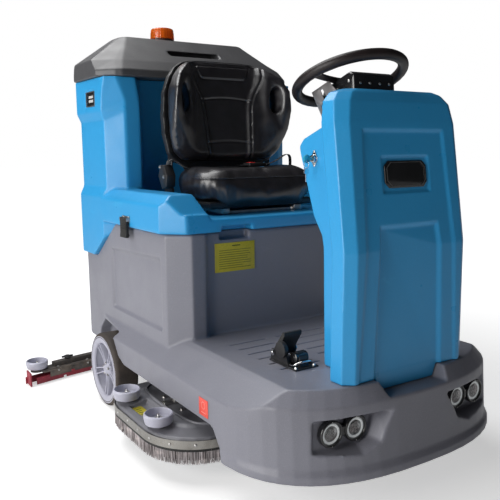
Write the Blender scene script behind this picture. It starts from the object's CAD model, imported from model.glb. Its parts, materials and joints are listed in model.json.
"""Looks for the ride-on floor scrubber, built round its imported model. Metres, +Z up, front -Y."""

import json
import random
from math import atan, atan2, copysign, cos, pi, radians, sin

import bmesh
import bpy
import numpy as np
from mathutils import Matrix, Vector
from mathutils.bvhtree import BVHTree


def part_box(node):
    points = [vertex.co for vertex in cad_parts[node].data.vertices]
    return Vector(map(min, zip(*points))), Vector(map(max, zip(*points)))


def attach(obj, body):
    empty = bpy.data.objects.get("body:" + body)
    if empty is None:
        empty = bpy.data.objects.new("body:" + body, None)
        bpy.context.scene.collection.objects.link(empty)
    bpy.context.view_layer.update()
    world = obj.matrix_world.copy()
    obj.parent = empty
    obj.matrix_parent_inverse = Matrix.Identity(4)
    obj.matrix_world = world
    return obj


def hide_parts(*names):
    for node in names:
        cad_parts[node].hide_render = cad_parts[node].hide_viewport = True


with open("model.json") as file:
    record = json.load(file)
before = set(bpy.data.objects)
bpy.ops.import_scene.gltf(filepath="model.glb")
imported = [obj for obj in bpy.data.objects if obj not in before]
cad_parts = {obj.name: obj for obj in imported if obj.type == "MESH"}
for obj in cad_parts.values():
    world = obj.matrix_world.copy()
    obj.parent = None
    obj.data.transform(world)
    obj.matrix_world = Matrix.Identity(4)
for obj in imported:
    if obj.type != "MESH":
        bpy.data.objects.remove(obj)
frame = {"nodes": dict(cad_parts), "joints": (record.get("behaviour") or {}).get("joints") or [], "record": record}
NODES = frame["nodes"]
JOINTS = {joint["name"]: joint for joint in frame["joints"]}
BODY_OF = {n: body for body, names in frame["record"]["behaviour"]["bodies"].items() for n in names}
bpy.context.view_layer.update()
UP = Vector((0, 0, 1))
SIDES = (("right", -1), ("left", 1))
FLAT_ANGLE = radians(0.6)    # faces nearer than this to one plane are joined


# --- materials ----------------------------------------------------------------
class Skin:
    """A Principled material and short calls for the nodes that feed it."""

    def __init__(self, name, colour, roughness, metallic=0.0, **sockets):
        self.material = bpy.data.materials.new(name)
        self.material.use_nodes = True
        self.tree = self.material.node_tree
        self.shader = self.tree.nodes["Principled BSDF"]
        self.colour = (*colour, 1.0)
        self.roughness = roughness
        self.put(self.shader, "Base Color", self.colour)
        self.put(self.shader, "Roughness", roughness)
        self.put(self.shader, "Metallic", metallic)
        for socket, value in sockets.items():
            self.put(self.shader, socket.replace("_", " "), value)
        self.place = self.node("TexCoord", "Object", {})

    def put(self, node, socket, value):
        """Sets a socket, or links it where the value is another node's output."""
        if isinstance(value, bpy.types.NodeSocket):
            self.tree.links.new(value, node.inputs[socket])
        else:
            node.inputs[socket].default_value = value

    def node(self, kind, output, inputs, **settings):
        """Adds a node, and gives back one of its outputs."""
        node = self.tree.nodes.new("ShaderNode" + kind)
        for setting, value in settings.items():
            setattr(node, setting, value)
        for socket, value in inputs.items():
            self.put(node, socket, value)
        return node.outputs[output]

    def noise(self, scale, detail=2.0, stretch=None, rough=0.5):
        place = self.place
        if stretch:
            place = self.node("Mapping", "Vector", {"Vector": place, "Scale": stretch})
        inputs = {"Vector": place, "Scale": scale, "Detail": detail, "Roughness": rough}
        return self.node("TexNoise", "Fac", inputs)

    def cells(self, scale, feature="F1"):
        return self.node("TexVoronoi", "Distance", {"Vector": self.place, "Scale": scale}, feature=feature)

    def waves(self, scale, direction):
        inputs = {"Vector": self.place, "Scale": scale}
        return self.node("TexWave", "Fac", inputs, bands_direction=direction)

    def span(self, value, low, high, start=0.0, end=1.0):
        """Maps low..high to start..end, clamped."""
        inputs = {"Value": value, "From Min": low, "From Max": high, "To Min": start, "To Max": end}
        return self.node("MapRange", "Result", inputs)

    def product(self, a, b):
        return self.node("Math", 0, {0: a, 1: b}, operation="MULTIPLY")

    def tint(self, share, factor):
        """Takes the colour towards its first value times a factor, by a share."""
        links = self.shader.inputs["Base Color"].links
        now = links[0].from_socket if links else self.colour
        made = tuple(min(1.0, c * f) for c, f in zip(self.colour[:3], factor)) + (1.0,)
        mixed = self.node("Mix", 2, {0: share, 6: now, 7: made}, data_type="RGBA")
        self.put(self.shader, "Base Color", mixed)

    def edges(self, factor):
        """Lightens worn outer edges."""
        outer = self.span(self.node("NewGeometry", "Pointiness", {}), 0.53, 0.62)
        self.tint(self.product(outer, self.span(self.noise(30.0, 3), 0.35, 0.65)), factor)

    def bump(self, height, depth, strength):
        """Adds a bump over those that are there."""
        inputs = {"Height": height, "Distance": depth, "Strength": strength}
        for link in self.shader.inputs["Normal"].links:
            inputs["Normal"] = link.from_socket
        self.put(self.shader, "Normal", self.node("Bump", "Normal", inputs))

    def rough(self, value, spread):
        """Lets the roughness vary by so much each way."""
        ends = self.roughness - spread, self.roughness + spread
        self.put(self.shader, "Roughness", self.span(value, 0.3, 0.7, *ends))


def moulded_skin(name, colour, roughness, mottle=0.10, wear=(1.35, 1.35, 1.35)):
    """Rotomoulded plastic: orange peel, fine grain, cloudy colour and rubbed edges."""
    skin = Skin(name, colour, roughness, Specular_IOR_Level=0.5)
    skin.tint(skin.span(skin.noise(2.2, 4), 0.3, 0.7), (1 - mottle,) * 3)
    skin.tint(skin.span(skin.noise(420.0, 3), 0.55, 0.72), (1 + 1.2 * mottle,) * 3)
    skin.tint(skin.span(skin.noise(260.0, 2), 0.60, 0.75), (1 - 1.4 * mottle,) * 3)
    scuff = skin.noise(9.0, 6, stretch=(1.0, 0.35, 3.0), rough=0.7)
    skin.tint(skin.span(scuff, 0.64, 0.74, 0.0, 0.35), wear)
    skin.edges(wear)
    skin.rough(skin.noise(14.0, 4), 0.07)
    skin.bump(skin.noise(55.0, 2), 0.0010, 0.25)
    skin.bump(skin.noise(700.0, 3), 0.0003, 0.35)
    return skin.material


def grained_skin(name, colour, roughness, scale=900.0, depth=0.0003, coat=0.0):
    """Injection-moulded plastic with a pebble grain."""
    skin = Skin(name, colour, roughness, Coat_Weight=coat, Coat_Roughness=0.15)
    skin.tint(skin.span(skin.noise(18.0, 4), 0.35, 0.65), (1.35,) * 3)
    skin.edges((2.2, 2.2, 2.2))
    skin.rough(skin.noise(40.0, 3), 0.06)
    skin.bump(skin.cells(scale), depth, 0.35)
    return skin.material


def vinyl_skin():
    skin = Skin(
        "seat_vinyl", (0.010, 0.009, 0.0115), 0.36, Specular_IOR_Level=0.8, Coat_Weight=0.6,
        Coat_Roughness=0.32,
    )
    skin.tint(skin.span(skin.noise(25.0, 4), 0.4, 0.7), (1.8, 1.75, 1.7))
    skin.rough(skin.noise(30.0, 4), 0.07)
    skin.bump(skin.noise(60.0, 3), 0.0012, 0.20)
    skin.bump(skin.cells(520.0, "DISTANCE_TO_EDGE"), 0.0004, 0.30)
    return skin.material


def rubber_skin(name, colour, roughness, dust=(1.0, 1.0, 1.0), scale=350.0):
    skin = Skin(name, colour, roughness, Specular_IOR_Level=0.35)
    skin.tint(skin.span(skin.noise(12.0, 5, rough=0.65), 0.42, 0.68), dust)
    skin.tint(skin.span(skin.noise(scale, 2), 0.5, 0.7), tuple(0.5 + 0.5 * d for d in dust))
    skin.rough(skin.noise(25.0, 3), 0.06)
    skin.bump(skin.noise(scale, 3), 0.0005, 0.5)
    return skin.material


def metal_skin(name, colour, roughness, brushed=None, metallic=1.0, stain=(0.6, 0.58, 0.55)):
    """Bare or plated metal. Brushed is the stretch of its fine lines."""
    skin = Skin(name, colour, roughness, metallic)
    skin.tint(skin.span(skin.noise(35.0, 5), 0.52, 0.75, 0.0, 0.6), stain)
    if brushed:
        lines = skin.noise(900.0, 3, stretch=brushed)
        skin.rough(lines, 0.10)
        skin.bump(lines, 0.0002, 0.25)
    else:
        skin.rough(skin.noise(60.0, 4), 0.05)
        skin.bump(skin.noise(300.0, 3), 0.0001, 0.3)
    return skin.material


def painted_skin(name, colour, roughness):
    """Powder-coated steel with chips and dust."""
    skin = Skin(name, colour, roughness)
    skin.tint(skin.span(skin.noise(16.0, 6, rough=0.7), 0.5, 0.72), (2.6, 2.4, 2.1))
    skin.edges((3.0, 2.8, 2.5))
    skin.rough(skin.noise(30.0, 4), 0.08)
    skin.bump(skin.noise(450.0, 3), 0.0003, 0.5)
    return skin.material


def bristle_skin(name, colour):
    skin = Skin(name, colour, 0.55, Specular_IOR_Level=0.3)
    strands = skin.noise(260.0, 2, stretch=(1.0, 1.0, 0.02))
    skin.tint(skin.span(strands, 0.40, 0.62), (0.45, 0.43, 0.42))
    skin.tint(skin.span(skin.noise(40.0, 3), 0.55, 0.75), (1.5, 1.45, 1.4))
    skin.bump(strands, 0.001, 0.5)
    return skin.material


def webbing_skin():
    """Woven polyester: fine ribs across a lengthwise grain."""
    skin = Skin("webbing", (0.016, 0.016, 0.017), 0.62, Sheen_Weight=0.25, Sheen_Roughness=0.4)
    ribs = skin.product(skin.waves(160.0, "X"), skin.waves(240.0, "Y"))
    skin.tint(skin.span(ribs, 0.2, 0.8), (2.4, 2.4, 2.4))
    skin.bump(ribs, 0.0006, 0.8)
    return skin.material


def label_skin(name, colour, lines):
    """Printed film with plain ruled bars, no lettering."""
    skin = Skin(name, colour, 0.42, Coat_Weight=0.3, Coat_Roughness=0.2)
    skin.tint(skin.span(skin.noise(20.0, 4), 0.35, 0.65), (0.90, 0.90, 0.86))
    skin.tint(skin.span(skin.noise(500.0, 2), 0.5, 0.7), lines)
    skin.rough(skin.noise(60.0, 3), 0.05)
    skin.bump(skin.noise(250.0, 2), 0.0001, 0.4)
    return skin.material


def lens_skin(name, colour, transmission, roughness, ior=1.49):
    skin = Skin(name, colour, roughness, Transmission_Weight=transmission, IOR=ior)
    skin.tint(skin.span(skin.noise(60.0, 3), 0.4, 0.7), (0.88, 0.80, 0.80))
    skin.rough(skin.noise(90.0, 3), min(0.03, roughness * 0.5))
    skin.bump(skin.noise(120.0, 2), 0.0002, 0.3)
    return skin.material


def glow_skin():
    skin = Skin(
        "lamp_halo", (0.80, 0.82, 0.80), 0.25, Emission_Color=(0.9, 0.95, 1.0, 1.0), Emission_Strength=0.12,
    )
    skin.tint(skin.span(skin.noise(150.0, 2), 0.4, 0.7), (0.85, 0.86, 0.86))
    skin.rough(skin.noise(90.0, 2), 0.05)
    return skin.material


SKIN = {
    "blue": moulded_skin("blue_shell", (0.034, 0.345, 0.705), 0.34, 0.05, (1.7, 1.35, 1.15)),
    "grey": moulded_skin("grey_shell", (0.234, 0.235, 0.276), 0.40, 0.10),
    "lid": moulded_skin("dark_shell", (0.078, 0.078, 0.083), 0.42, 0.10),
    "deck": moulded_skin("deck_shell", (0.190, 0.190, 0.212), 0.42, 0.12),
    "black": grained_skin("black_grain", (0.014, 0.014, 0.015), 0.42),
    "gloss": grained_skin("black_gloss", (0.010, 0.010, 0.011), 0.12, 300.0, 0.00005, 0.5),
    "rim": rubber_skin("wheel_grip", (0.014, 0.011, 0.011), 0.40, (1.6, 1.4, 1.4), 600.0),
    "vinyl": vinyl_skin(),
    "tyre": rubber_skin("tyre_rubber", (0.052, 0.044, 0.040), 0.75, (2.0, 1.9, 1.8)),
    "rubber": rubber_skin("black_rubber", (0.020, 0.020, 0.020), 0.60, (1.8, 1.8, 1.8)),
    "red": rubber_skin("red_rubber", (0.36, 0.035, 0.055), 0.50, (0.62, 0.9, 0.9), 200.0),
    "pale": moulded_skin("pale_plastic", (0.455, 0.455, 0.540), 0.42, 0.08, (1.3, 1.3, 1.3)),
    "steel": metal_skin("stainless", (0.36, 0.345, 0.32), 0.30, (1.0, 1.0, 12.0)),
    "chrome": metal_skin("chrome", (0.80, 0.80, 0.80), 0.10),
    "silver": metal_skin("satin_alloy", (0.66, 0.63, 0.63), 0.38, (14.0, 1.0, 1.0)),
    "zinc": metal_skin("zinc_plate", (0.52, 0.51, 0.50), 0.34),
    "dark_metal": painted_skin("dark_paint", (0.045, 0.043, 0.045), 0.50),
    "bristle": bristle_skin("skirt_bristle", (0.50, 0.46, 0.47)),
    "disc_bristle": bristle_skin("disc_bristle", (0.06, 0.20, 0.36)),
    "webbing": webbing_skin(),
    "yellow": label_skin("yellow_label", (0.66, 0.55, 0.030), (0.72, 0.74, 0.6)),
    "label_red": label_skin("red_label", (0.80, 0.085, 0.060), (1.2, 1.5, 1.4)),
    "red_button": grained_skin("red_button", (0.70, 0.02, 0.02), 0.25),
    "orange": lens_skin("orange_lens", (1.0, 0.22, 0.015), 0.55, 0.16),
    "orange_core": lens_skin("orange_core", (1.0, 0.35, 0.03), 0.0, 0.35),
    "glass": lens_skin("lamp_glass", (0.92, 0.94, 0.95), 0.92, 0.04),
    "halo": glow_skin(),
    "key_blue": grained_skin("key_head", (0.02, 0.24, 0.34), 0.28),
    "screen": grained_skin("display_glass", (0.012, 0.016, 0.018), 0.08, 200.0, 0.00003, 0.6),
    "ink": rubber_skin("label_ink", (0.10, 0.12, 0.02), 0.55, (1.4, 1.4, 1.4), 400.0),
    "chalk": rubber_skin("label_chalk", (0.55, 0.56, 0.56), 0.50, (0.85, 0.85, 0.85), 400.0),
    "rose": rubber_skin("label_rose", (0.90, 0.30, 0.27), 0.50, (0.9, 0.9, 0.9), 400.0),
    "smoke": lens_skin("lamp_ribs", (0.30, 0.30, 0.30), 0.25, 0.18),
    "bristle_core": bristle_skin("skirt_core", (0.10, 0.095, 0.095)),
    "disc_plate": moulded_skin("disc_plate", (0.05, 0.06, 0.075), 0.45, 0.08),
    "weathered": painted_skin("weathered_beam", (0.060, 0.052, 0.048), 0.58),
}


# --- mesh helpers -------------------------------------------------------------
def shade(obj, angle=40):
    """Shades the object smooth, with edges sharper than the angle kept."""
    obj.data.shade_smooth()
    obj.data.set_sharp_from_angle(angle=radians(angle))
    return obj


def linked(name, data):
    """A new object in the scene."""
    obj = bpy.data.objects.new(name, data)
    bpy.context.scene.collection.objects.link(obj)
    return obj


def from_bmesh(name, bm, skin, angle=40):
    mesh = bpy.data.meshes.new(name)
    bmesh.ops.recalc_face_normals(bm, faces=bm.faces)
    bm.to_mesh(mesh)
    bm.free()
    obj = linked(name, mesh)
    if skin:
        wear(obj, skin)
    return shade(obj, angle)


def wear(obj, skin):
    """Gives the object one material only."""
    obj.data.materials.clear()
    obj.data.materials.append(SKIN[skin])


def evaluated(obj):
    """A new mesh of the object as it stands."""
    bpy.context.view_layer.update()
    graph = bpy.context.evaluated_depsgraph_get()
    return bpy.data.meshes.new_from_object(obj.evaluated_get(graph))


def settle(obj):
    """Applies the object's modifiers to its mesh."""
    made = evaluated(obj)
    obj.modifiers.clear()
    obj.data = made


def copy_of(node, name, skin):
    """A new mesh with a CAD node's shape, its triangles on flat faces joined up."""
    bm = bmesh.new()
    bm.from_mesh(NODES[node].data)
    bmesh.ops.remove_doubles(bm, verts=bm.verts, dist=1e-5)
    bmesh.ops.dissolve_limit(bm, angle_limit=FLAT_ANGLE, verts=bm.verts, edges=bm.edges)
    return from_bmesh(name, bm, skin)


def loft(bm, rings, closed=False):
    """Adds a skin over rings of equal point counts, with ends if it isn't closed."""
    made = [[bm.verts.new(p) for p in ring] for ring in rings]
    for here, there in neighbours(made, closed):
        for i in range(len(here)):
            j = (i + 1) % len(here)
            bm.faces.new((here[i], here[j], there[j], there[i]))
    if not closed:
        bm.faces.new(made[0][::-1])
        bm.faces.new(made[-1])


def neighbours(rings, closed):
    """Each ring with the next."""
    return list(zip(rings, rings[1:])) + ([(rings[-1], rings[0])] if closed else [])


def circle(count):
    """Even angles round a circle."""
    return [2 * pi * i / count for i in range(count)]


def basis(axis):
    """Right-handed frame whose third direction is the axis."""
    n = Vector(axis).normalized()
    hint = Vector((0, 1, 0) if abs(n.z) > 0.95 else (0, 0, 1))
    u = hint.cross(n).normalized()
    return u, n.cross(u), n


def turned(bm, profile, centre, axis, steps=64, closed=False):
    """Adds a turned solid. Profile is (radius, height) pairs; a radius of 0 makes a pole."""
    u, v, n = basis(axis)
    rings = []
    for r, h in profile:
        at = Vector(centre) + n * h
        around = [at + (u * cos(a) + v * sin(a)) * r for a in circle(steps)] if r else [at]
        rings.append([bm.verts.new(p) for p in around])
    for here, there in neighbours(rings, closed):
        for i in range(steps):
            j = (i + 1) % steps
            if len(here) == 1:
                bm.faces.new((here[0], there[j], there[i]))
            elif len(there) == 1:
                bm.faces.new((here[i], here[j], there[0]))
            else:
                bm.faces.new((here[i], here[j], there[j], there[i]))


def about_x(a):
    """The direction at an angle in the plane square to x."""
    return Vector((0, cos(a), sin(a)))


def mirrored(profile):
    """The profile, then its image at the negative second value, as one line."""
    return profile + [(r, -h) for r, h in reversed(profile)]


def rounded(profile, radius, steps=3):
    """Rounds the inner corners of an open (r, h) profile with short arcs."""
    out = [profile[0]]
    for before, corner, after in zip(profile, profile[1:], profile[2:]):
        a, b, c = (Vector(p) for p in (before, corner, after))
        reach = min(radius, (a - b).length * 0.45, (c - b).length * 0.45)
        start, end = b + (a - b).normalized() * reach, b + (c - b).normalized() * reach
        for i in range(steps + 1):
            t = i / steps
            out.append(tuple((1 - t) ** 2 * start + 2 * t * (1 - t) * b + t * t * end))
    out.append(profile[-1])
    return out


def slab(bm, size, centre, turn=Matrix.Identity(3), radius=0.001, segments=2):
    """Adds a box with rounded edges."""
    made = bmesh.new()
    bmesh.ops.create_cube(made, size=1.0)
    for v in made.verts:
        v.co = Vector(a * b for a, b in zip(v.co, size))
    if radius:
        bmesh.ops.bevel(
            made, geom=made.edges[:] + made.verts[:], offset=radius, segments=segments, affect="EDGES",
            profile=0.5,
        )
    for v in made.verts:
        v.co = Vector(centre) + turn @ v.co
    spare = bpy.data.meshes.new("spare")
    made.to_mesh(spare)
    made.free()
    bm.from_mesh(spare)
    bpy.data.meshes.remove(spare)


def hexagon(bm, centre, axis, radius, height):
    """Adds a bolt head with a chamfered top and a washer under it."""
    washer, collar = radius * 1.45, height * 0.22
    turned(bm, [(0, 0.0), (washer, 0.0), (washer, collar), (0, collar)], centre, axis, 28)
    head = [
        (0, height * 0.2), (radius, height * 0.2), (radius, height * 0.88), (radius * 0.86, height),
        (0, height + 0.0003),
    ]
    turned(bm, head, centre, axis, 6)


def dome_head(bm, centre, axis, radius, height):
    """Adds a round screw head."""
    profile = [(0, height)]
    for i in range(1, 7):
        a = pi / 2 * i / 6
        profile.append((radius * sin(a), height * cos(a)))
    turned(bm, profile + [(radius, -0.0006), (0, -0.0006)], centre, axis, 24)


def tube(name, points, radius, skin, cyclic=False, sides=4):
    """A smooth round wire through points."""
    curve = bpy.data.curves.new(name, "CURVE")
    curve.dimensions = "3D"
    curve.bevel_depth = radius
    curve.bevel_resolution = sides
    curve.use_fill_caps = True
    curve.resolution_u = 6
    spline = curve.splines.new("NURBS")
    spline.points.add(len(points) - 1)
    for point, co in zip(spline.points, points):
        point.co = (*co, 1.0)
    spline.use_cyclic_u = cyclic
    spline.use_endpoint_u = not cyclic
    spline.order_u = 4
    wire = linked(name, curve)
    mesh = evaluated(wire)
    bpy.data.objects.remove(wire)
    bpy.data.curves.remove(curve)
    bm = bmesh.new()
    bm.from_mesh(mesh)
    bmesh.ops.remove_doubles(bm, verts=bm.verts, dist=1e-6)
    bpy.data.meshes.remove(mesh)
    return from_bmesh(name, bm, skin, 60)


def cut(obj, cutter):
    """Cuts a helper mesh out of obj at once, and deletes the helper."""
    step = obj.modifiers.new("cut", "BOOLEAN")
    step.operation = "DIFFERENCE"
    step.solver = "MANIFOLD"
    step.object = cutter
    settle(obj)
    bpy.data.objects.remove(cutter)


def ready(piece, node=None, on=None):
    """Names the CAD node that a piece stands for, or the one that it sits on."""
    if node:
        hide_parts(node)
    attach(piece, BODY_OF[on or node])


def add(name, bm, skin, node=None, on=None, angle=40):
    """Makes a piece of a filled bmesh."""
    ready(from_bmesh(name, bm, skin, angle), node, on)


def dress(node, skin, bevel=0.0):
    """Gives a CAD node that stays its material and, with modifiers only, softened edges."""
    obj = NODES[node]
    wear(obj, skin)
    obj.data.shade_smooth()
    obj.modifiers.new("weld", "WELD").merge_threshold = 0.00001
    flat = obj.modifiers.new("flat", "DECIMATE")
    flat.decimate_type = "DISSOLVE"
    flat.angle_limit = FLAT_ANGLE
    if bevel:
        step = obj.modifiers.new("edge", "BEVEL")
        step.width = bevel
        step.segments = 3
        step.limit_method = "ANGLE"
        step.angle_limit = radians(28)
        step.use_clamp_overlap = True
    shade(obj, 32)


# --- moulded shells -----------------------------------------------------------
def reskin(piece, voxel, passes):
    """Modifiers that remesh a piece and round it off."""
    step = piece.modifiers.new("skin", "REMESH")
    step.mode = "VOXEL"
    step.voxel_size = voxel
    smooth(piece, passes)


def smooth(piece, passes):
    step = piece.modifiers.new("soften", "SMOOTH")
    step.factor = 0.5
    step.iterations = passes


def moulded(node, name, skin, voxel, passes, keep, cutter=None):
    """Rounds a CAD shell's edges and hollows the way rotomoulding does."""
    piece = copy_of(node, name, skin)
    size = voxel * 1.0
    reskin(piece, size, max(2, round(passes * (voxel / size) ** 2)))
    piece.modifiers.new("thin", "DECIMATE").ratio = keep
    settle(piece)
    if cutter:
        cut(piece, cutter)
    wear(piece, skin)
    ready(shade(piece, 48), node)


GROOVE_ROWS, GROOVE_PITCH = 6, 0.052
FIRST_GROOVE = 0.123       # how far the first row lies ahead of the footwell's label
GROOVE_COLUMNS = ((-0.262, -0.130), (-0.095, 0.095), (0.130, 0.262))


def platform_grooves():
    """A cutter for the foot platform's rounded slots, in three columns. The last middle one is left out."""
    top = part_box("pedal_base")[0].z
    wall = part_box("wall_label")[1].y
    bm = bmesh.new()
    for row in range(GROOVE_ROWS):
        y = wall - FIRST_GROOVE - GROOVE_PITCH * row
        for low, high in GROOVE_COLUMNS:
            if row == GROOVE_ROWS - 1 and low < 0 < high:
                continue
            rings = []
            for z, r in ((top - 0.0045, 0.0028), (top - 0.001, 0.0042), (top + 0.006, 0.0075)):
                ring = []
                for x, start in ((high - r, -90), (low + r, 90)):
                    for k in range(9):
                        a = radians(start + 180 * k / 8)
                        ring.append((x + r * cos(a), y + r * sin(a), z))
                rings.append(ring)
            loft(bm, rings)
    return from_bmesh("grooves", bm, None)


# --- places worked out from the frame -----------------------------------------
def joint_at(name):
    return Vector(JOINTS[name]["pos_m"])


def middle(node):
    low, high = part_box(node)
    return (low + high) / 2


def coords(piece):
    """The mesh's points, as rows."""
    out = np.empty(len(piece.data.vertices) * 3)
    piece.data.vertices.foreach_get("co", out)
    return out.reshape(-1, 3)


def normals(piece):
    out = np.empty(len(piece.data.vertices) * 3, np.float32)
    piece.data.vertex_normals.foreach_get("vector", out)
    return out.reshape(-1, 3).astype(float)


def set_coords(piece, points):
    piece.data.vertices.foreach_set("co", np.ascontiguousarray(points, float).reshape(-1))
    piece.data.update()


# --- padded seat --------------------------------------------------------------
BACK_LEAN = radians(8)
HINGE = joint_at("backrest_recline")
SEAT_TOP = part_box("seat_cushion")[1].z
CLOTH_FRAMES = 20


def stuffed(node, name, voxel, pressure, cap, shrink):
    """Swells a slightly smaller copy of a CAD pad, as foam does under its cover."""
    piece = copy_of(node, name, "vinyl")
    centre = middle(node)
    for v in piece.data.vertices:
        v.co = centre + Matrix.Diagonal(shrink) @ (v.co - centre)
    reskin(piece, voxel * (1.0), 10)
    settle(piece)
    before = coords(piece)
    cloth = piece.modifiers.new("swell", "CLOTH")
    cloth.settings.use_pressure = True
    cloth.settings.uniform_pressure_force = pressure
    cloth.settings.quality = 5
    cloth.settings.effector_weights.gravity = 0.0
    for moment in range(1, CLOTH_FRAMES + 1):
        bpy.context.scene.frame_set(moment)
    settle(piece)
    move = coords(piece) - before
    far = np.maximum(np.linalg.norm(move, axis=1, keepdims=True), 1e-9)
    set_coords(piece, before + move * np.minimum(1.0, cap / far))
    bpy.context.scene.frame_set(1)
    smooth(piece, 14)
    piece.modifiers.new("fine", "SUBSURF").levels = 1
    settle(piece)
    wear(piece, "vinyl")
    return piece


def distance_to(points, line):
    """Distance of flat points from a polyline."""
    best = np.full(len(points), 9.0)
    for a, b in zip(np.array(line[:-1]), np.array(line[1:])):
        span = b - a
        share = np.clip((points - a) @ span / (span @ span), 0, 1)
        best = np.minimum(best, np.linalg.norm(points - a - share[:, None] * span, axis=1))
    return best


def inside(points, outline):
    """Which flat points a closed outline holds."""
    held = np.zeros(len(points), bool)
    for a, b in zip(outline, outline[1:] + outline[:1]):
        if abs(b[1] - a[1]) < 1e-9:
            continue
        crosses = (a[1] > points[:, 1]) != (b[1] > points[:, 1])
        at = a[0] + (points[:, 1] - a[1]) * (b[0] - a[0]) / (b[1] - a[1])
        held ^= crosses & (points[:, 0] < at)
    return held


def across(line):
    """The line on the other side of the middle."""
    return [(-x, u) for x, u in reversed(line)]


def seat_cushion():
    """Seat pad with its sunk middle, seams and corner folds, and the piping round its front."""
    piece = stuffed("seat_cushion", "seat_pad", 0.0060, 4.0, 0.009, (0.985, 0.975, 0.97))
    points, facing = coords(piece), normals(piece)
    low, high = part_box("seat_cushion")
    centre = middle("seat_cushion")
    # A shallow seat with bolsters at its sides and a roll at its front.
    sideways = np.clip(np.abs(points[:, 0] - centre.x) / (high.x - centre.x), 0, 1)
    along = np.clip((points[:, 1] - low.y) / (high.y - low.y), 0, 1)
    upper = np.clip((facing[:, 2] - 0.3) / 0.5, 0, 1)
    sink = 0.010 * (1 - np.clip((sideways - 0.45) / 0.3, 0, 1) ** 2)
    points[:, 2] -= sink * np.clip((along - 0.15) / 0.3, 0, 1) * upper
    flat = points[:, :2] - np.array([centre.x, low.y])
    front = [(-0.135, 0.30), (-0.150, 0.12), (-0.120, 0.070)]
    front += across(front)
    for line in (rounded(front, 0.03, 5), [(-0.145, 0.175), (0.0, 0.165), (0.145, 0.175)]):
        press = 0.0034 * np.exp(-(distance_to(flat, line) / 0.0032) ** 2) * upper
        points -= facing * press[:, None]
    # Folds gathered at the two front corners, below the piping.
    turn = np.arctan2(points[:, 1] - centre.y, points[:, 0] - centre.x)
    corner = np.exp(-((np.abs(np.abs(turn + pi / 2) - 1.05)) / 0.30) ** 2)
    skirt = np.exp(-((points[:, 2] - (SEAT_TOP - 0.075)) / 0.030) ** 2)
    points += facing * (0.0016 * np.sin(turn * 46) * corner * skirt)[:, None]
    set_coords(piece, points)
    shade(piece, 60)
    faces = [tuple(face.vertices) for face in piece.data.polygons]
    tree = BVHTree.FromPolygons([tuple(point) for point in points], faces)
    ring = []
    for i in range(150):
        a = pi * (1.06 + 0.88 * i / 149)
        out = Vector((cos(a) * 1.7, sin(a), 0)).normalized()
        start = Vector((centre.x, centre.y, SEAT_TOP - 0.030)) + out * 0.6
        hit = tree.ray_cast(start, -out)[0]
        if hit:
            ring.append(hit + out * 0.0006)
    piping = tube("seat_piping", ring, 0.0026, "vinyl")
    ready(piece, "seat_cushion")
    ready(piping, on="seat_cushion")


def back_place(points):
    """(across, up) of points on the backrest, as its hinge sees them."""
    dy, dz = points[:, 1] - (HINGE.y - 0.012), points[:, 2] - HINGE.z
    return np.stack([points[:, 0], dy * sin(BACK_LEAN) + dz * cos(BACK_LEAN)], axis=1)


def backrest_cushion():
    """Back pad with its sunk middle, seams and an embossed panel at the top."""
    piece = stuffed("backrest_cushion", "back_pad", 0.0056, 3.5, 0.007, (0.985, 0.97, 0.985))
    points, facing = coords(piece), normals(piece)
    flat = back_place(points)
    ahead = np.clip((-facing[:, 1] - 0.15) / 0.4, 0, 1)
    panel = [(-0.158, 0.420), (-0.140, 0.330), (-0.100, 0.262), (-0.094, 0.16), (-0.084, 0.02)]
    panel = rounded(panel, 0.05, 5)
    outline = panel + across(panel)
    edge = np.minimum(distance_to(flat, panel), distance_to(flat, across(panel)))
    sunk = np.clip(edge / 0.022, 0, 1)
    sunk = sunk * sunk * (3 - 2 * sunk) * inside(flat, outline)
    back = np.array([0.0, cos(BACK_LEAN), -sin(BACK_LEAN)])
    points += back * (0.013 * sunk * ahead)[:, None]
    arch = [(x, 0.262 + 0.010 * cos(x * 14)) for x in np.linspace(-0.100, 0.100, 9)]
    low_seam = [(x, 0.112 + 0.008 * cos(x * 16)) for x in np.linspace(-0.090, 0.090, 9)]
    inner = [(-0.098, 0.248), (-0.090, 0.112), (-0.080, 0.03)]
    for line, depth, width in (
        (panel, 0.0042, 0.0040), (across(panel), 0.0042, 0.0040), (arch, 0.0034, 0.0034),
        (low_seam, 0.0030, 0.0034), (inner, 0.0014, 0.003), (across(inner), 0.0014, 0.003),
    ):
        press = depth * np.exp(-(distance_to(flat, line) / width) ** 2) * ahead
        points -= facing * press[:, None]
    # Embossed rounded panel at the top.
    head = [(-0.112, 0.384), (0.112, 0.384), (0.092, 0.338), (-0.092, 0.338)]
    line = rounded(head + head[:2], 0.012, 4)
    line.append(line[1])
    near = distance_to(flat, line)
    raised = np.clip(near / 0.006, 0, 1) * inside(flat, line[1:])
    points -= facing * (0.0026 * np.exp(-(near / 0.0030) ** 2) * ahead)[:, None]
    points += facing * (0.0022 * raised * ahead)[:, None]
    set_coords(piece, points)
    shade(piece, 60)
    ready(piece, "backrest_cushion")


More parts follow.
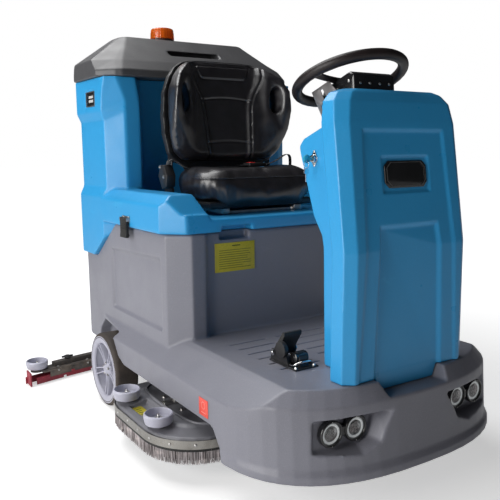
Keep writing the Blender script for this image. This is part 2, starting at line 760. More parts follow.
# --- lap belt and seat bolts --------------------------------------------------
def belt_details():
    """Buckle with its red button, chrome tongue, stalk at the left, and the retractor's screws."""
    low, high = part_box("belt_buckle")
    centre = middle("belt_buckle")
    bm = bmesh.new()
    slab(bm, high - low, centre, radius=0.0045, segments=4)
    slab(bm, (0.030, 0.024, 0.004), centre + Vector((0.046, 0, -0.001)), radius=0.0015)
    add("buckle_case", bm, "black", "belt_buckle")
    bm = bmesh.new()
    slab(bm, (0.020, 0.030, 0.0060), centre + Vector((-0.016, 0, 0.0052)), radius=0.0022, segments=3)
    add("buckle_button", bm, "red_button", on="belt_buckle")
    bm = bmesh.new()
    slab(bm, (0.034, 0.030, 0.0022), centre + Vector((-0.050, 0, -0.001)), radius=0.0008)
    slab(bm, (0.006, 0.036, 0.0034), centre + Vector((-0.064, 0, -0.001)), radius=0.0012)
    add("buckle_tongue", bm, "chrome", on="belt_buckle")
    path = [centre + Vector(p) for p in (
        (0.045, 0, 0.000), (0.085, 0.004, 0.006), (0.125, 0.008, 0.026), (0.150, 0.012, 0.038),
        (0.168, 0.014, 0.030), (0.170, 0.016, 0.000), (0.166, 0.018, -0.070), (0.150, 0.020, -0.118),
    )]
    section = ((-0.010, -0.001), (0.010, -0.001), (0.010, 0.001), (-0.010, 0.001))
    bm = bmesh.new()
    rings = []
    for i, p in enumerate(path):
        ahead = (path[min(i + 1, len(path) - 1)] - path[max(i - 1, 0)]).normalized()
        side = Vector((0, 1, 0))
        up = ahead.cross(side).normalized()
        rings.append([p + side * a + up * b for a, b in section])
    loft(bm, rings)
    stalk = from_bmesh("buckle_stalk", bm, "webbing")
    stalk.modifiers.new("round", "SUBSURF").levels = 2
    settle(stalk)
    ready(shade(stalk, 50), on="belt_buckle")
    case = middle("belt_retractor")
    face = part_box("belt_retractor")[0].x
    bm = bmesh.new()
    for dy, dz in ((-0.012, 0.030), (0.014, 0.062)):
        hexagon(bm, (face - 0.0002, case.y + dy, case.z + dz), (-1, 0, 0), 0.0045, 0.004)
    add("retractor_screws", bm, "zinc", on="belt_buckle")


def seat_fittings():
    """Recliner knobs and pan bolts."""
    bm = bmesh.new()
    for side in (-1, 1):
        x = side * (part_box("seat_pan")[1].x - 0.0002)
        hexagon(bm, (x, HINGE.y, HINGE.z), (side, 0, 0), 0.0090, 0.006)
        for dy in (-0.016, 0.020):
            hexagon(bm, (x, HINGE.y + dy, HINGE.z - 0.052), (side, 0, 0), 0.0050, 0.004)
    add("recliner_bolts", bm, "zinc", on="seat_pan")


# --- steering -----------------------------------------------------------------
COLUMN = Vector(JOINTS["steering_spin"]["axis"]).normalized()
AHEAD = Vector((0, -COLUMN.z, COLUMN.y))
WHEEL_C = joint_at("steering_spin")
RIM_REACH, RIM_THICK = 0.146, 0.0145
CONSOLE_HALF, CONSOLE_TOP = 0.072, -0.0163    # half its width; its top along the column


def on_wheel(x, t, n):
    """The place at x, t ahead across the column and n up along it."""
    return WHEEL_C + Vector((x, 0, 0)) + AHEAD * t + COLUMN * n


def steering_wheel():
    """Rim with its finger grips, three spokes, the boss with its shaft, and the cap."""
    bm = bmesh.new()
    rings = []
    for a in circle(120):
        out = Vector((cos(a), 0, 0)) + AHEAD * sin(a)
        grip = 1 - 0.035 * (0.5 + 0.5 * cos(36 * a)) if sin(a) < 0.4 else 1.0
        ring = []
        for b in circle(20):
            r = RIM_THICK * (grip if sin(b) < -0.3 else 1.0)
            ring.append(WHEEL_C + out * (RIM_REACH + r * cos(b)) + COLUMN * (r * sin(b)))
        rings.append(ring)
    loft(bm, rings, closed=True)
    spoke = (
        (0.016, 0.0190, -0.0105), (0.035, 0.0165, -0.0100), (0.065, 0.0125, -0.0088),
        (0.095, 0.0115, -0.0070), (0.122, 0.0120, -0.0038), (0.138, 0.0150, -0.0018),
        (0.146, 0.0175, -0.0010),
    )
    for heading in (90, 188, 352):
        a = radians(heading)
        out = Vector((cos(a), 0, 0)) - AHEAD * sin(a)
        side = COLUMN.cross(out)
        rings = []
        for reach, half, drop in spoke:
            centre = WHEEL_C + out * reach + COLUMN * drop
            ring = []
            for b in circle(16):
                w = half * copysign(abs(cos(b)) ** 0.55, cos(b))
                h = 0.0034 * copysign(abs(sin(b)) ** 0.55, sin(b))
                ring.append(centre + side * w + COLUMN * h)
            rings.append(ring)
        loft(bm, rings)
    boss = [
        (0, -0.0015), (0.026, -0.0018), (0.0325, -0.0034), (0.036, -0.0066), (0.036, -0.0140),
        (0.012, -0.0142), (0.0100, -0.0148), (0.0100, -0.185), (0, -0.185),
    ]
    turned(bm, boss, WHEEL_C, COLUMN, 64)
    add("wheel_rim", bm, "rim", "steering_wheel", angle=45)
    bm = bmesh.new()
    cap = [(0, 0.0006), (0.016, 0.0004), (0.0195, -0.0004), (0.0205, -0.0022), (0, -0.0022)]
    turned(bm, cap, WHEEL_C, COLUMN, 48)
    add("wheel_cap", bm, "gloss", on="steering_wheel")


def console_details():
    """Screws round the console, its display, a switch row and the tilt bracket's nuts."""
    dress("console", "gloss", 0.0030)
    bm = bmesh.new()
    for side in (-1, 1):
        for t, n in ((0.020, -0.042), (0.068, -0.040), (0.028, -0.084)):
            dome_head(bm, on_wheel(side * (CONSOLE_HALF - 0.0004), t, n), (side, 0, 0), 0.0045, 0.0022)
        for t in (-0.022, 0.068):
            dome_head(bm, on_wheel(side * (CONSOLE_HALF - 0.011), t, CONSOLE_TOP), COLUMN, 0.0036, 0.0014)
    for x in (-0.050, -0.017, 0.017, 0.050):
        dome_head(bm, on_wheel(x, 0.0862, -0.0520), AHEAD - 0.266 * COLUMN, 0.0038, 0.0018)
    add("console_screws", bm, "zinc", on="console")
    turn = Matrix((Vector((1, 0, 0)), AHEAD, COLUMN)).transposed()
    bm = bmesh.new()
    slab(bm, (0.060, 0.026, 0.0020), on_wheel(0, 0.056, CONSOLE_TOP + 0.0006), turn, 0.0008, 3)
    add("console_display", bm, "screen", on="console")
    bm = bmesh.new()
    for x in (-0.045, -0.015, 0.015, 0.045):
        slab(bm, (0.020, 0.012, 0.0030), on_wheel(x, -0.024, CONSOLE_TOP), turn, 0.0012, 3)
    add("console_switches", bm, "rubber", on="console")
    pivot = joint_at("console_tilt")
    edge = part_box("tilt_bracket")[1].x
    bm = bmesh.new()
    for side in (-1, 1):
        hexagon(bm, (side * (edge + 0.0001), pivot.y, pivot.z), (side, 0, 0), 0.0080, 0.006)
    add("tilt_nuts", bm, "zinc", on="tilt_bracket")
    dress("tilt_bracket", "silver", 0.0008)


# --- key switch, emblem and labels --------------------------------------------
def key_details():
    """Ring and two screws on the key switch."""
    at = joint_at("key_turn")
    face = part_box("key_switch")[1].x - 0.0030
    bm = bmesh.new()
    for dz in (-0.0175, 0.0175):
        dome_head(bm, (face, at.y, at.z + dz), (-1, 0, 0), 0.0030, 0.0016)
    ring = [
        (0.0068, 0.0), (0.0105, 0.0), (0.0112, 0.0012), (0.0105, 0.0030), (0.0098, 0.0045),
        (0.0068, 0.0045),
    ]
    turned(bm, ring, (face, at.y, at.z), (-1, 0, 0), 40, closed=True)
    add("key_escutcheon", bm, "chrome", on="key_switch")


def plate_rules(name, low, high, normal, rows, skin, label, height=0.0016, margin=0.10, seed=3):
    """Thin ruled bars on a label, in place of print. Normal is "-x", "-y" or "z"."""
    rng = random.Random(seed)
    axis = "xyz".index(normal[-1])
    sign = -1 if normal[0] == "-" else 1
    wide, up = (i for i in range(3) if i != axis)
    face = (high if sign > 0 else low)[axis]
    width, rise = high[wide] - low[wide], high[up] - low[up]
    bm = bmesh.new()
    for row in range(rows):
        start = low[wide] + width * margin
        end = high[wide] - width * margin * (1 + 3.5 * rng.random() ** 3)
        size, centre = [0.0] * 3, [0.0] * 3
        size[axis], centre[axis] = 0.0003, face + sign * 0.00010
        size[wide], centre[wide] = end - start, (start + end) / 2
        size[up], centre[up] = height, high[up] - rise * (margin + (1 - 2 * margin) * (row + 0.5) / rows)
        slab(bm, size, centre, radius=0)
    add(name, bm, skin, on=label)


def labels():
    """Plain marks on the labels, the badge's frame and the emblem's border."""
    dress("wall_label", "yellow", 0.0002)
    low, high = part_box("wall_label")
    plate_rules("wall_label_lines", low, high - UP * 0.012, "-y", 9, "ink", "wall_label")
    bm = bmesh.new()
    title = (middle("wall_label").x + 0.004, low.y - 0.0001, high.z - 0.010)
    slab(bm, (0.030, 0.0003, 0.0035), title, radius=0)
    add("wall_label_title", bm, "ink", on="wall_label")
    dress("side_label", "label_red", 0.0002)
    low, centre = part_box("side_label")[0], middle("side_label")
    bm = bmesh.new()
    ring = [(0.0085, 0.0), (0.0105, 0.0), (0.0105, 0.0004), (0.0085, 0.0004)]
    turned(bm, ring, (low.x - 0.0001, centre.y, centre.z + 0.006), (-1, 0, 0), 32, closed=True)
    slab(bm, (0.0004, 0.024, 0.0022), (low.x - 0.0001, centre.y, low.z + 0.010), radius=0)
    add("side_label_mark", bm, "rose", on="side_label")
    dress("deck_label", "yellow", 0.0002)
    low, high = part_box("deck_label")
    plate_rules("deck_label_lines", low, high, "z", 4, "ink", "deck_label", 0.005, 0.16, 5)
    dress("side_badge", "gloss", 0.0008)
    low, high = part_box("side_badge")
    centre = middle("side_badge")
    size = high - low - Vector((0, 0.004, 0.004))
    bar = 0.0022
    bm = bmesh.new()
    for z in (low.z + bar, high.z - bar):
        slab(bm, (0.0012, size.y, bar * 0.7), (low.x - 0.0002, centre.y, z), radius=0.0003)
    for y in (low.y + bar, high.y - bar):
        slab(bm, (0.0012, bar * 0.7, size.z), (low.x - 0.0002, y, centre.z), radius=0.0003)
    add("badge_frame", bm, "silver", on="side_badge")
    inset = Vector((0, 0.008, 0.010))
    plate_rules("badge_lines", low + inset, high - inset, "-x", 2, "chalk", "side_badge", 0.009, 0.08, 2)
    dress("emblem_plate", "gloss", 0.0022)
    lean = atan2(0.043, 0.310)
    out = Vector((0, -cos(lean), sin(lean)))
    up = Vector((0, sin(lean), cos(lean)))
    face = middle("emblem_plate") + out * 0.0031
    outline = [(0.053, 0.030), (0.067, 0.016), (0.067, -0.016), (0.053, -0.030)]
    outline += [(-a, -b) for a, b in outline]
    bm = bmesh.new()
    rings = []
    for wide, tall, lift in ((1, 1, 0), (1, 1, 0.0004), (0.975, 0.955, 0.0004), (0.975, 0.955, 0)):
        rings.append([face + Vector((a * wide, 0, 0)) + up * (b * tall) + out * lift for a, b in outline])
    loft(bm, rings, closed=True)
    add("emblem_border", bm, "zinc", on="emblem_plate")


# --- beacon and headlamps -----------------------------------------------------
def beacon():
    """Ribbed dome with a turned core inside."""
    low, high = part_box("beacon_lens")
    centre = Vector((middle("beacon_lens").x, middle("beacon_lens").y, low.z))
    height, reach = high.z - low.z, (high.x - low.x) / 2
    outline = [(reach * r, height * h) for r, h in (
        (0, 1), (0.70, 0.985), (0.88, 0.93), (0.945, 0.80), (0.955, 0.62), (0.975, 0.60),
        (0.985, 0.30), (1, 0),
    )]
    rings = []
    for r, h in rounded(outline, 0.004, 3)[1:]:
        ribbed = 0.010 if h < height * 0.9 else 0.0
        rings.append([
            centre + Vector((cos(a), sin(a), 0)) * r * (1 + ribbed * cos(24 * a))
            + UP * h
            for a in circle(144)
        ])
    bm = bmesh.new()
    loft(bm, rings)
    add("beacon_dome", bm, "orange", "beacon_lens", angle=60)
    core = [(reach * r, height * h) for r, h in (
        (0, 0.86), (0.34, 0.84), (0.40, 0.70), (0.46, 0.62), (0.40, 0.50), (0.46, 0.40),
        (0.40, 0.28), (0.62, 0.12), (0, 0.12),
    )]
    bm = bmesh.new()
    turned(bm, core, centre, UP, 48)
    add("beacon_core", bm, "orange_core", on="beacon_lens")
    dress("beacon_base", "black", 0.0015)


def headlamps(word):
    """A pair of lamps: the double bezel, and in each a halo, a bowl, ribs and the glass."""
    centres = [middle(f"headlamp_{word}_{where}") for where in "ab"]
    node = f"headlight_bezel_{word}"
    side = (centres[1] - centres[0]).normalized()
    out = side.cross(UP)
    if out.y > 0:
        out = -out
    bezel = bmesh.new()
    ring = [
        (0.0272, -0.0060), (0.0272, 0.0050), (0.0285, 0.0072), (0.0312, 0.0078), (0.0334, 0.0062),
        (0.0340, 0.0030), (0.0340, -0.0088), (0.0300, -0.0088),
    ]
    for centre in centres:
        turned(bezel, rounded(ring, 0.001, 2), centre, out, 72, closed=True)
    turn = Matrix((side, UP.cross(side), UP)).transposed()
    slab(bezel, (0.020, 0.013, 0.026), (centres[0] + centres[1]) / 2 - out * 0.0024, turn, 0.003, 3)
    bezel = from_bmesh(f"lamp_bezel_{word}", bezel, "gloss", 50)
    ready(bezel, node)
    turn = Matrix((side, out, UP)).transposed()
    halo = [
        (0.0185, -0.0010), (0.0200, 0.0020), (0.0230, 0.0034), (0.0262, 0.0022), (0.0268, -0.0020),
        (0.0185, -0.0040),
    ]
    bowl = [
        (0, -0.0050), (0.0060, -0.0048), (0.0120, -0.0036), (0.0165, -0.0012), (0.0186, 0.0008),
        (0.0186, -0.0055), (0, -0.0056),
    ]
    glass = [
        (0, 0.0052), (0.010, 0.0046), (0.018, 0.0024), (0.0250, -0.0006), (0.0250, -0.0014),
        (0.018, 0.0014), (0.010, 0.0034), (0, 0.0040),
    ]
    for centre, where in zip(centres, "ab"):
        bm = bmesh.new()
        turned(bm, rounded(halo, 0.001, 3), centre, out, 72, closed=True)
        add(f"lamp_halo_{word}_{where}", bm, "halo", on=node, angle=60)
        bm = bmesh.new()
        turned(bm, bowl, centre, out, 48)
        add(f"lamp_bowl_{word}_{where}", bm, "zinc", on=node, angle=60)
        bm = bmesh.new()
        for shift, tall in ((-0.0085, 0.020), (0.0, 0.027), (0.0085, 0.020)):
            slab(bm, (0.0036, 0.0042, tall), centre + side * shift - out * 0.0010, turn, 0.0016, 3)
        slab(bm, (0.026, 0.0030, 0.0022), centre - out * 0.0016, turn, 0.0009, 2)
        add(f"lamp_ribs_{word}_{where}", bm, "smoke", on=node, angle=60)
        bm = bmesh.new()
        turned(bm, glass, centre, out, 64)
        lens = from_bmesh(f"lamp_glass_{word}_{where}", bm, "glass", 60)
        ready(lens, f"headlamp_{word}_{where}")
    bm = bmesh.new()
    for centre in centres:
        for dz in (-0.0306, 0.0306):
            dome_head(bm, centre + UP * dz + out * 0.0072, out, 0.0016, 0.0009)
    add(f"lamp_screws_{word}", bm, "zinc", on=node)


# --- pedal --------------------------------------------------------------------
PEDAL_HALF = 0.0375        # half the width of its base


def pedal_details():
    """Bolts, sensor drum, wire guard and return spring at the pedal."""
    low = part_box("pedal_base")[0]
    pin = joint_at("pedal_press")
    bm = bmesh.new()
    for side in (-1, 1):
        for y in (low.y + 0.010, pin.y + 0.004):
            at = (pin.x + side * (PEDAL_HALF - 0.008), y, low.z + 0.0040)
            hexagon(bm, at, UP, 0.0042, 0.0040)
    for side in (-1, 1):
        at = (pin.x + side * (PEDAL_HALF - 0.0005), pin.y, pin.z)
        hexagon(bm, at, (side, 0, 0), 0.0062, 0.0050)
    add("pedal_bolts", bm, "chrome", on="pedal_base")
    bm = bmesh.new()
    drum = Vector((pin.x, low.y + 0.034, low.z + 0.024))
    barrel = [(0, 0.0215), (0.0120, 0.0215), (0.0150, 0.0195), (0.0160, 0.0150), (0.0150, 0.0120)]
    turned(bm, mirrored(barrel), drum, (1, 0, 0), 48)
    for a in circle(12):
        slab(bm, (0.022, 0.0022, 0.0022), drum + about_x(a) * 0.0150, radius=0.0006)
    add("pedal_sensor", bm, "gloss", on="pedal_base")
    guard = []
    for i in range(15):
        a = pi * i / 14
        y, z = low.y + 0.024 - 0.020 * sin(a), low.z + 0.008 + 0.012 * sin(a)
        guard.append(Vector((pin.x + 0.030 * cos(a), y, z)))
    guard = [guard[0] + Vector((0, 0.045, -0.002))] + guard + [guard[-1] + Vector((0, 0.045, -0.002))]
    ready(tube("pedal_guard", guard, 0.0030, "chrome"), on="pedal_base")
    coil = []
    for i in range(90):
        along = Vector((pin.x - 0.021 + 0.0209 * i / 89, pin.y, pin.z))
        coil.append(along + about_x(2 * pi * i / 12) * 0.0072)
    ready(tube("pedal_spring", coil, 0.0009, "zinc", sides=2), on="pedal_base")
    dress("pedal_base", "black", 0.0008)
    dress("accelerator_pedal", "rubber", 0.0014)


# --- wheels and rollers -------------------------------------------------------
RIM_TURN = 0.3             # where the first spoke of a rear wheel stands, in radians


def rear_wheel(word, side):
    """Tyre, and over the CAD's rim its lip, hub, spoke ribs and bolts."""
    tyre, rim = f"rear_tyre_{word}", f"rear_rim_{word}"
    low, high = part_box(tyre)
    half, reach = (high.x - low.x) / 2, (high.z - low.z) / 2
    centre = middle(tyre)
    out = Vector((side, 0, 0))
    tread = [
        (0.1042, half - 0.004), (0.112, half - 0.0005), (0.1205, half - 0.0006),
        (reach - 0.0030, half - 0.0040), (reach, half - 0.0110),
    ]
    bm = bmesh.new()
    turned(bm, rounded(mirrored(tread), 0.004, 3), centre, out, 128, closed=True)
    add(f"tyre_{word}", bm, "tyre", tyre, angle=50)
    dress(rim, "pale", 0.0012)
    bm = bmesh.new()
    lip = [
        (0.0925, half - 0.010), (0.0950, half - 0.0035), (0.1000, half - 0.0016),
        (0.1180, half - 0.0004), (0.1205, half - 0.0012), (0.1180, half - 0.0030),
        (0.1010, half - 0.0060),
    ]
    turned(bm, rounded(lip, 0.0012, 3), centre, out, 112, closed=True)
    hub = [
        (0, half - 0.0060), (0.0120, half - 0.0066), (0.0150, half - 0.0095), (0.0260, half - 0.0150),
        (0.0300, half - 0.0215), (0.0310, 0.0038), (0, 0.0038),
    ]
    turned(bm, rounded(hub, 0.002, 3), centre, out, 64)
    for k in range(5):
        a = 2 * pi * (k + 0.5) / 5 + RIM_TURN
        for spread in (-0.115, 0.115):
            start = about_x(a + spread * 2.1) * 0.0260
            end = about_x(a + spread) * 0.0960
            wide = out.cross((end - start).normalized())
            rings = []
            for p, w, h in (
                (start, 0.0034, half - 0.0150), ((start + end) / 2, 0.0026, half - 0.0125),
                (end, 0.0034, half - 0.0070),
            ):
                section = ((-w, 0.0035), (w, 0.0035), (w * 0.7, h), (-w * 0.7, h))
                rings.append([centre + p + wide * u + out * v for u, v in section])
            loft(bm, rings)
    trim = from_bmesh(f"rim_trim_{word}", bm, "pale", 35)
    step = trim.modifiers.new("edge", "BEVEL")
    step.width, step.segments, step.limit_method = 0.0006, 2, "ANGLE"
    settle(trim)
    ready(shade(trim, 40), on=rim)
    bm = bmesh.new()
    for a in circle(5):
        at = centre + about_x(a + RIM_TURN) * 0.0215 + out * (half - 0.0130)
        hexagon(bm, at, out, 0.0038, 0.0045)
    add(f"rim_bolts_{word}", bm, "zinc", on=rim)


def cup_roller(node):
    """Cup-shaped bumper roller with a rolled lip, its bolt and washer inside."""
    low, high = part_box(node)
    centre = middle(node)
    reach, half = (high.x - low.x) / 2, (high.z - low.z) / 2
    profile = [
        (reach - 0.0010, half - 0.003), (reach, half - 0.008), (reach - 0.0006, 0.0),
        (reach - 0.0040, 0.002 - half), (reach - 0.0075, -half), (0.0085, -half),
        (0.0062, 0.002 - half), (0.0062, -0.001), (0.0140, -0.001), (0.0165, -0.0085),
        (reach - 0.0140, -0.0085), (reach - 0.0090, -0.004), (reach - 0.0058, half - 0.004),
        (reach - 0.0050, half),
    ]
    bm = bmesh.new()
    turned(bm, rounded(profile + profile[:1], 0.0022, 3), centre, UP, 96, closed=True)
    add(f"{node}_cup", bm, "pale", node, angle=50)
    bm = bmesh.new()
    turned(bm, [(0, -0.0008), (0.0125, -0.0008), (0.0125, 0.0008), (0, 0.0008)], centre, UP, 40)
    hexagon(bm, centre + UP * 0.0008, UP, 0.0070, 0.0065)
    stud = [(0, 0.0115), (0.0034, 0.0112), (0.0040, 0.0100), (0.0040, 0.006), (0, 0.006)]
    turned(bm, stud, centre, UP, 24)
    carrier = "deck_housing" if node.startswith("deck") else "squeegee_frame"
    add(f"{node}_bolt", bm, "zinc", on=carrier)


# --- brush deck ---------------------------------------------------------------
DECK_CORNER = 0.170


def deck_path(inset, count):
    """Even points round the deck's plan, with the outward direction at each."""
    low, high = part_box("deck_band")
    w, d = (high.x - low.x) / 2 - inset, (high.y - low.y) / 2 - inset
    cx, cy, r = (low.x + high.x) / 2, (low.y + high.y) / 2, DECK_CORNER - inset
    sides = [(2 * (d - r), (w, -(d - r)), (0, 1)), (2 * (w - r), (w - r, d), (-1, 0)),
             (2 * (d - r), (-w, d - r), (0, -1)), (2 * (w - r), (-(w - r), -d), (1, 0))]
    corner = pi / 2 * r
    total = sum(s[0] for s in sides) + 4 * corner
    out = []
    for i in range(count):
        s = total * i / count
        for k, (length, start, way) in enumerate(sides):
            if s < length:
                out.append((cx + start[0] + way[0] * s, cy + start[1] + way[1] * s, way[1], -way[0]))
                break
            s -= length
            if s < corner:
                a = s / r + pi / 2 * k
                mx = cx + (w - r) * (1 if k in (0, 3) else -1)
                my = cy + (d - r) * (1 if k in (0, 1) else -1)
                out.append((mx + r * cos(a), my + r * sin(a), cos(a), sin(a)))
                break
            s -= corner
    return out


def bristles():
    """Tapered strands in three staggered rows, each with its own lean."""
    rng = random.Random(11)
    low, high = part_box("bristle_skirt")
    top, tip = high.z + 0.001, low.z + 0.0005
    verts, faces = [], []
    rows = ((0.0035, 1900), (0.0075, 1500), (0.0120, 1100))
    for inset, count in rows:
        for x, y, nx, ny in deck_path(inset, count // (1)):
            x, y = x + rng.uniform(-0.0012, 0.0012), y + rng.uniform(-0.0012, 0.0012)
            lean_side, lean_out = rng.gauss(0, 0.0022), rng.gauss(-0.0010, 0.0014)
            lean_out = min(lean_out, inset - 0.0008)
            end = tip + rng.random() ** 2 * 0.0025
            r = rng.uniform(0.0008, 0.0013)
            base = len(verts)
            for share, z, size in ((0.0, top, 1.0), (0.45, (top * 0.5 + end * 0.5), 0.9), (1.0, end, 0.55)):
                bend = share ** 1.6
                cx = x - ny * lean_side * bend + nx * lean_out * bend
                cy = y + nx * lean_side * bend + ny * lean_out * bend
                for k in range(3):
                    a = 2.094 * k + x * 900
                    verts.append((cx + r * size * cos(a), cy + r * size * sin(a), z))
            for layer in (0, 3):
                for k in range(3):
                    m = (k + 1) % 3
                    faces.append(
                        (base + layer + k, base + layer + m, base + layer + 3 + m, base + layer + 3 + k)
                    )
            faces += [(base + 2, base + 1, base), (base + 6, base + 7, base + 8)]
    mesh = bpy.data.meshes.new("skirt_strands")
    mesh.from_pydata(verts, [], faces)
    bm = bmesh.new()
    bm.from_mesh(mesh)
    bpy.data.meshes.remove(mesh)
    add("skirt_strands", bm, "bristle", "bristle_skirt", angle=80)
    strip("skirt_core", 0.0150, 0.0190, low.z + 0.009, high.z, "bristle_core")


def strip(name, outer, inner, low, high, skin, node=None):
    """A closed band that follows the deck's plan between two insets."""
    bm = bmesh.new()
    rings = []
    for (x, y, *_), (u, v, *_) in zip(deck_path(outer, 220), deck_path(inner, 220)):
        rings.append([(x, y, low), (x, y, high), (u, v, high), (u, v, low)])
    loft(bm, rings, closed=True)
    add(name, bm, skin, node, on="deck_housing")


def deck_details():
    """Band and seal round the deck, and on top its bolts, clamps and ribs."""
    low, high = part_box("deck_band")
    centre = middle("deck_band")
    strip("deck_metal_band", 0.0, 0.0030, low.z, high.z, "steel", "deck_band")
    strip("deck_seal", 0.0012, 0.0060, low.z - 0.0075, low.z - 0.0002, "rubber")
    bm = bmesh.new()
    for x, y, nx, ny in deck_path(0.0, 40):
        dome_head(bm, (x, y, centre.z), (nx, ny, 0), 0.0042, 0.0026)
    add("band_rivets", bm, "zinc", on="deck_housing")
    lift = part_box("deck_label")[0].z
    bm = bmesh.new()
    clamp = bmesh.new()
    for side in (-1, 1):
        for dy in (-0.060, 0.060):
            hexagon(bm, (side * 0.400, centre.y + dy, lift + 0.0170), UP, 0.0060, 0.006)
        for size, x, z, radius in (
            ((0.058, 0.020, 0.010), 0.402, 0.0215, 0.002), ((0.018, 0.032, 0.014), 0.392, 0.0275, 0.003),
        ):
            slab(clamp, size, (side * x, centre.y + 0.004, lift + z), radius=radius, segments=3)
    add("deck_bolts", bm, "zinc", on="deck_housing")
    add("deck_clamps", clamp, "zinc", on="deck_housing")
    loop = mirrored([
        (0.090, -0.150), (0.110, -0.196), (0.300, -0.200), (0.385, -0.196), (0.425, -0.160),
        (0.432, -0.050),
    ])
    for word, side in SIDES:
        points = [(side * x, centre.y + y, lift + 0.0165) for x, y in loop]
        ready(tube(f"deck_rib_{word}", points, 0.0050, "deck", True), on="deck_housing")


def disc_brushes():
    """Tufts in rings under each disc."""
    rng = random.Random(4)
    for node in ("brush_right", "brush_left"):
        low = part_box(node)[0]
        centre = middle(node)
        dress(node, "disc_plate", 0.001)
        bm = bmesh.new()
        for ring in range(4):
            reach = 0.130 + 0.031 * ring
            count = round(2 * pi * reach / 0.017)
            for k in range(count):
                a = 2 * pi * (k + 0.5 * (ring % 2)) / count
                at = (centre.x + reach * cos(a), centre.y + reach * sin(a), low.z + 0.0005)
                r = 0.0052 + rng.uniform(-0.0006, 0.0006)
                turned(bm, [(0, -0.0025), (r, -0.0020), (r * 0.9, 0.004), (0, 0.004)], at, UP, 7)
        add(f"{node}_tufts", bm, "disc_bristle", on=node)


# --- squeegee -----------------------------------------------------------------
SQUEEGEE_BEND = 0.213


def squeegee_at(x):
    """Middle of the beam at x, and the level direction square to it, rearwards."""
    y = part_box("squeegee_frame")[1].y - 0.0265 - SQUEEGEE_BEND * x * x
    slope = atan(-2 * SQUEEGEE_BEND * x)
    return Vector((x, y, 0)), Vector((-sin(slope), cos(slope), 0))


def squeegee_details():
    """Bolts, wing knobs and pegs along the beam, and the steel strip that clamps the rear blade."""
    dress("squeegee_frame", "weathered", 0.0012)
    dress("blade_front", "red", 0.0006)
    dress("blade_rear", "red", 0.0006)
    knobs, bolts, pegs = bmesh.new(), bmesh.new(), bmesh.new()
    for k in range(-4, 5):
        at, normal = squeegee_at(k * 0.128)
        for rear in (-normal, normal):
            hexagon(bolts, at + rear * 0.0200 + UP * 0.0532, UP, 0.0040, 0.0042)
            dome_head(bolts, at + rear * 0.0264 + UP * 0.041, rear, 0.0046, 0.0022)
        at, normal = squeegee_at(k * 0.118 + 0.02)
        slab(pegs, (0.014, 0.005, 0.007), at - normal * 0.0272 + UP * 0.026, radius=0.0015)
    stem = [
        (0, 0.0), (0.0060, 0.0), (0.0060, 0.003), (0.0120, 0.005), (0.0130, 0.012), (0.0110, 0.014),
        (0, 0.0142),
    ]
    for x in (-0.46, -0.27, 0.27, 0.46):
        at = squeegee_at(x)[0] + UP * 0.0695
        turned(knobs, rounded(stem, 0.001), at, UP, 32)
        slab(knobs, (0.046, 0.006, 0.008), at + UP * 0.010, radius=0.002)
    add("squeegee_bolts", bolts, "zinc", on="squeegee_frame")
    add("squeegee_knobs", knobs, "black", on="squeegee_frame")
    add("squeegee_pegs", pegs, "red", on="squeegee_frame")
    section = ((0.0266, 0.028), (0.0275, 0.028), (0.0275, 0.038), (0.0266, 0.038))
    rings = []
    for i in range(61):
        at, normal = squeegee_at(1.06 * (i / 60 - 0.5))
        rings.append([at + normal * n + UP * z for n, z in section])
    edge = bmesh.new()
    loft(edge, rings)
    add("squeegee_clamp", edge, "steel", on="squeegee_frame")


def latch_details():
    """Grip ribs on the latch's strap, and rivets on its bracket."""
    at = joint_at("latch_hinge")
    dress("latch_strap", "rubber", 0.0018)
    dress("latch_bracket", "zinc", 0.0005)
    bm = bmesh.new()
    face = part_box("latch_strap")[0].x + 0.0016
    for dz in (-0.016, -0.024, -0.032):
        slab(bm, (0.0026, 0.040, 0.0036), (face, at.y, at.z + dz), radius=0.0010)
    add("latch_ribs", bm, "rubber", on="latch_strap")
    bm = bmesh.new()
    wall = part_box("latch_bracket")[1].x - 0.0020
    head = [(0, 0.0012), (0.0024, 0.0010), (0.0030, 0.0), (0, 0)]
    for dy in (-0.0215, 0.0215):
        turned(bm, head, (wall, at.y + dy, at.z + 0.0065), (-1, 0, 0), 20)
    add("latch_rivets", bm, "chrome", on="latch_bracket")


# --- build --------------------------------------------------------------------
moulded("lower_body", "body_shell", "grey", 0.0040, 3, 0.38, platform_grooves())
moulded("recovery_tank", "tank_shell", "blue", 0.0042, 6, 0.42)
moulded("front_cowl", "cowl_shell", "blue", 0.0028, 3, 0.35)
moulded("column_cover", "cover_shell", "blue", 0.0032, 4, 0.42)
moulded("tank_lid", "lid_shell", "lid", 0.0038, 5, 0.40)
moulded("deck_housing", "deck_shell", "deck", 0.0028, 2, 0.32)
seat_cushion()
backrest_cushion()
moulded("backrest_shell", "back_shell", "black", 0.0036, 5, 0.5)
belt_details()
seat_fittings()
steering_wheel()
console_details()
key_details()
labels()
beacon()
for word, _ in SIDES:
    headlamps(word)
pedal_details()
for word, side in SIDES:
    rear_wheel(word, side)
for node in BODY_OF:
    if "roller" in node:
        cup_roller(node)
bristles()
deck_details()
disc_brushes()
squeegee_details()
latch_details()
for node, skin, bevel in (
    ("belt_retractor", "black", 0.0015), ("seat_pan", "black", 0.0015), ("battery_pack", "black", 0.0015),
    ("rear_axle", "dark_metal", 0.0010), ("drive_fork", "dark_metal", 0.0010),
    ("drive_wheel", "tyre", 0.002), ("seat_rails", "zinc", 0.0006), ("key_switch", "chrome", 0.0004),
    ("spare_key", "chrome", 0.0002), ("ignition_key", "key_blue", 0.0006), ("belt_strap", "webbing", 0.0),
):
    dress(node, skin, bevel)


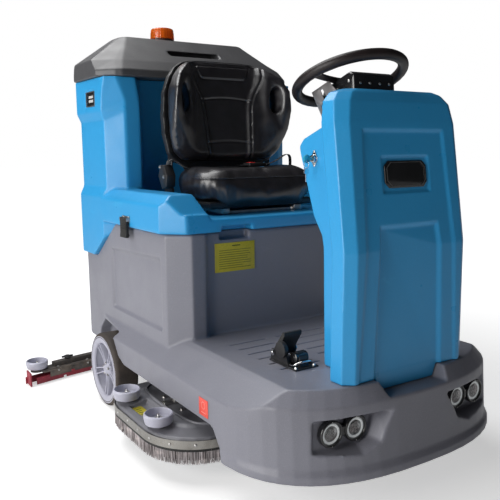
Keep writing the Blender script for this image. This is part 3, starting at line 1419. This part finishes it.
# --- camera, light and floor --------------------------------------------------
CAMERA_AT = Vector((-1.2272, -1.85795, 0.8934))
CAMERA_YAW, CAMERA_PITCH, CAMERA_ROLL = (radians(a) for a in (32.8, 8.57, 0.586))
LENS = 47.354
FLOOR_REACH = 40.0
FLOOR_GLOW = 0.50        # what the floor gives off near the machine; it grows to plain white further out
GLOW_ON_PARTS = 0.22     # the share of that glow that lights the machine; the camera sees all of it
AMBIENT = 0.03


def camera():
    cam = bpy.data.cameras.new("camera")
    cam.lens = LENS
    cam.sensor_width = 36.0
    obj = linked("camera", cam)
    flat = cos(CAMERA_PITCH)
    ahead = Vector((sin(CAMERA_YAW) * flat, cos(CAMERA_YAW) * flat, -sin(CAMERA_PITCH)))
    right = Vector((cos(CAMERA_YAW), -sin(CAMERA_YAW), 0))
    up = right.cross(ahead)
    right = cos(CAMERA_ROLL) * right - sin(CAMERA_ROLL) * up
    up = right.cross(ahead)
    obj.matrix_world = Matrix((
        (right.x, up.x, -ahead.x, CAMERA_AT.x), (right.y, up.y, -ahead.y, CAMERA_AT.y),
        (right.z, up.z, -ahead.z, CAMERA_AT.z), (0, 0, 0, 1),
    ))
    bpy.context.scene.camera = obj


def area_light(name, position, target, size, energy, colour=(1, 1, 1)):
    light = bpy.data.lights.new(name, "AREA")
    light.shape = "RECTANGLE"
    light.size, light.size_y = size
    light.energy = energy
    light.color = colour
    obj = linked(name, light)
    obj.location = position
    obj.rotation_mode = "QUATERNION"
    obj.rotation_quaternion = (Vector(target) - Vector(position)).to_track_quat("-Z", "Y")


def studio():
    """White surroundings, with soft light from the machine's right, from above and a little from behind."""
    world = bpy.data.worlds.new("studio")
    bpy.context.scene.world = world
    world.use_nodes = True
    tree = world.node_tree
    ambient = tree.nodes["Background"]
    ambient.inputs["Color"].default_value = (0.93, 0.96, 1.0, 1)
    ambient.inputs["Strength"].default_value = AMBIENT
    seen = tree.nodes.new("ShaderNodeBackground")
    seen.inputs["Color"].default_value = (1.0, 1.0, 1.0, 1)
    seen.inputs["Strength"].default_value = 1.0
    paths = tree.nodes.new("ShaderNodeLightPath")
    mix = tree.nodes.new("ShaderNodeMixShader")
    for source, socket in (
        (paths.outputs["Is Camera Ray"], mix.inputs[0]), (ambient.outputs[0], mix.inputs[1]),
        (seen.outputs[0], mix.inputs[2]), (mix.outputs[0], tree.nodes["World Output"].inputs["Surface"]),
    ):
        tree.links.new(source, socket)
    area_light("side_window", (-4.4, -0.60, 1.5), (0, 0.0, 0.55), (3.0, 2.6), 150, (1.0, 0.99, 0.97))
    area_light("top_soft", (-0.8, 1.4, 3.8), (0, 0, 0.4), (3.4, 2.6), 122)
    mesh = bpy.data.meshes.new("floor")
    corners = [(x * FLOOR_REACH, y * FLOOR_REACH, 0) for x, y in ((-1, -1), (1, -1), (1, 1), (-1, 1))]
    mesh.from_pydata(corners, [], [(0, 1, 2, 3)])
    floor = linked("floor", mesh)
    skin = Skin("pale_floor", (0.80, 0.80, 0.80), 0.6, Emission_Color=(1, 1, 1, 1))
    skin.tint(skin.span(skin.noise(1.5, 3), 0.3, 0.7), (0.99, 0.99, 0.99))
    distance = skin.node("VectorMath", "Value", {0: skin.place}, operation="LENGTH")
    glow = skin.span(distance, 1.1, 3.0, FLOOR_GLOW, 1.0)
    seen = skin.node("LightPath", "Is Camera Ray", {})
    glow = skin.product(glow, skin.span(seen, 0.0, 1.0, GLOW_ON_PARTS, 1.0))
    skin.put(skin.shader, "Emission Strength", glow)
    mesh.materials.append(skin.material)
    bpy.context.scene.view_settings.view_transform = "Standard"


camera()
studio()
